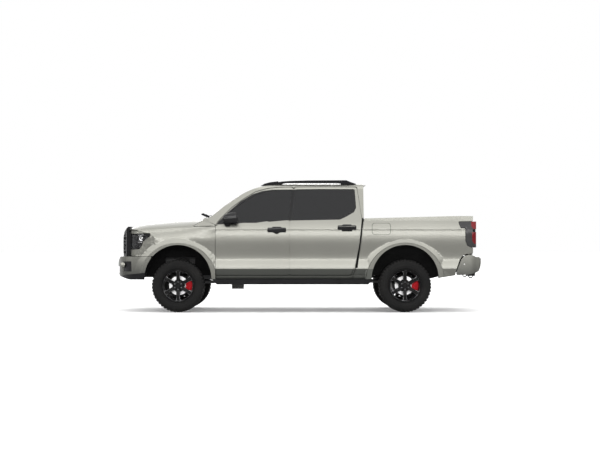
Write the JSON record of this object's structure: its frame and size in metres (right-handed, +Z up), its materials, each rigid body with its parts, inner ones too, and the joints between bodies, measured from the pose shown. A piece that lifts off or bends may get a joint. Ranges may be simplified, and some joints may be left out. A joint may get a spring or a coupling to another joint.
{
  "type": "pickup truck",
  "caption": "Lifted crew-cab pickup with opening doors, hood and tailgate, steered front wheels and an open load bed.",
  "frame": {"origin": "on the ground, midway between the bumper faces and the sides", "axes": "+X to the rear, +Y to the right side, +Z up"},
  "size_m": [5.8, 2.38, 2.0795],
  "materials": {
    "body_paint": "champagne silver metallic",
    "black_trim": "black textured plastic",
    "frame_steel": "satin black paint",
    "cast_metal": "bare castings",
    "exhaust_steel": "dull steel",
    "tinted_glass": "dark tint",
    "lamp_housing": "smoked clear lens",
    "tail_lens": "red and smoke lens",
    "caliper_red": "red enamel",
    "rim_black": "gloss black",
    "tyre_rubber": "rubber",
    "interior_plastic": "grained",
    "seat_fabric": "dark woven cloth"
  },
  "bodies": {
    "truck": {"frame_rails": "frame_steel", "cab_shell": "body_paint", "cab_glass": "tinted_glass", "fenders": "body_paint", "headlamps": "lamp_housing", "grille": "black_trim", "front_bumper": "body_paint", "bumper_inserts": "black_trim", "bed_shell": "body_paint", "tail_lamps": "tail_lens", "rear_bumper": "body_paint", "side_steps": "black_trim", "radiator": "frame_steel", "arch_liners": "black_trim", "engine_block": "cast_metal", "driveline": "cast_metal", "fuel_tank": "black_trim", "exhaust": "exhaust_steel", "rear_axle": "frame_steel", "leaf_springs": "frame_steel", "dampers": "frame_steel", "control_arms": "frame_steel", "rear_calipers": "caliper_red", "roof_rails": "black_trim", "dashboard": "interior_plastic", "front_seats": "seat_fabric", "rear_bench": "seat_fabric"},
    "hood": {"hood": "body_paint"},
    "tailgate": {"tailgate": "body_paint"},
    "steering_wheel": {"steering_wheel": "interior_plastic"},
    "front_door_left": {"front_door_left": "body_paint", "front_glass_left": "tinted_glass", "mirror_left": "black_trim"},
    "rear_door_left": {"rear_door_left": "body_paint", "rear_glass_left": "tinted_glass"},
    "hub_left": {"knuckle_left": "cast_metal", "front_caliper_left": "caliper_red"},
    "front_wheel_left": {"front_rim_left": "rim_black", "front_tyre_left": "tyre_rubber"},
    "rear_wheel_left": {"rear_rim_left": "rim_black", "rear_tyre_left": "tyre_rubber"},
    "front_door_right": {"front_door_right": "body_paint", "front_glass_right": "tinted_glass", "mirror_right": "black_trim"},
    "rear_door_right": {"rear_door_right": "body_paint", "rear_glass_right": "tinted_glass"},
    "hub_right": {"knuckle_right": "cast_metal", "front_caliper_right": "caliper_red"},
    "front_wheel_right": {"front_rim_right": "rim_black", "front_tyre_right": "tyre_rubber"},
    "rear_wheel_right": {"rear_rim_right": "rim_black", "rear_tyre_right": "tyre_rubber"}
  },
  "joints": [
    {"name": "front_door_left_hinge", "type": "hinge", "parent": "truck", "child": "front_door_left", "pos_m": [-1.275, -1, 1], "axis": [0, 0, -1], "range_deg": [0, 65]},
    {"name": "rear_door_left_hinge", "type": "hinge", "parent": "truck", "child": "rear_door_left", "pos_m": [-0.1173, -1, 1], "axis": [0, 0, -1], "range_deg": [0, 65]},
    {"name": "steer_left", "type": "hinge", "parent": "truck", "child": "hub_left", "pos_m": [-1.86, -0.75, 0.415], "axis": [0, 0, 1], "range_deg": [-28, 28]},
    {"name": "front_wheel_left_spin", "type": "hinge", "parent": "hub_left", "child": "front_wheel_left", "pos_m": [-1.86, -0.86, 0.415], "axis": [0, 1, 0], "continuous": true},
    {"name": "rear_wheel_left_spin", "type": "hinge", "parent": "truck", "child": "rear_wheel_left", "pos_m": [1.69, -0.86, 0.415], "axis": [0, 1, 0], "continuous": true},
    {"name": "front_door_right_hinge", "type": "hinge", "parent": "truck", "child": "front_door_right", "pos_m": [-1.275, 1, 1], "axis": [0, 0, 1], "range_deg": [0, 65]},
    {"name": "rear_door_right_hinge", "type": "hinge", "parent": "truck", "child": "rear_door_right", "pos_m": [-0.1173, 1, 1], "axis": [0, 0, 1], "range_deg": [0, 65]},
    {"name": "steer_right", "type": "hinge", "parent": "truck", "child": "hub_right", "pos_m": [-1.86, 0.75, 0.415], "axis": [0, 0, 1], "range_deg": [-28, 28]},
    {"name": "front_wheel_right_spin", "type": "hinge", "parent": "hub_right", "child": "front_wheel_right", "pos_m": [-1.86, 0.86, 0.415], "axis": [0, 1, 0], "continuous": true},
    {"name": "rear_wheel_right_spin", "type": "hinge", "parent": "truck", "child": "rear_wheel_right", "pos_m": [1.69, 0.86, 0.415], "axis": [0, 1, 0], "continuous": true},
    {"name": "hood_hinge", "type": "hinge", "parent": "truck", "child": "hood", "pos_m": [-1.5, 0, 1.48], "axis": [0, 1, 0], "range_deg": [0, 50]},
    {"name": "tailgate_hinge", "type": "hinge", "parent": "truck", "child": "tailgate", "pos_m": [2.738, 0, 0.905], "axis": [0, 1, 0], "range_deg": [0, 90]},
    {"name": "steering_wheel_turn", "type": "hinge", "parent": "truck", "child": "steering_wheel", "pos_m": [-0.9345, -0.3784, 1.217], "axis": [0.9063, 0, 0.4226], "range_deg": [-450, 450]}
  ],
  "couplings": [
    {"joint": "steer_right", "follows": "steer_left", "ratio": 1},
    {"joint": "steering_wheel_turn", "follows": "steer_left", "ratio": 16}
  ]
}
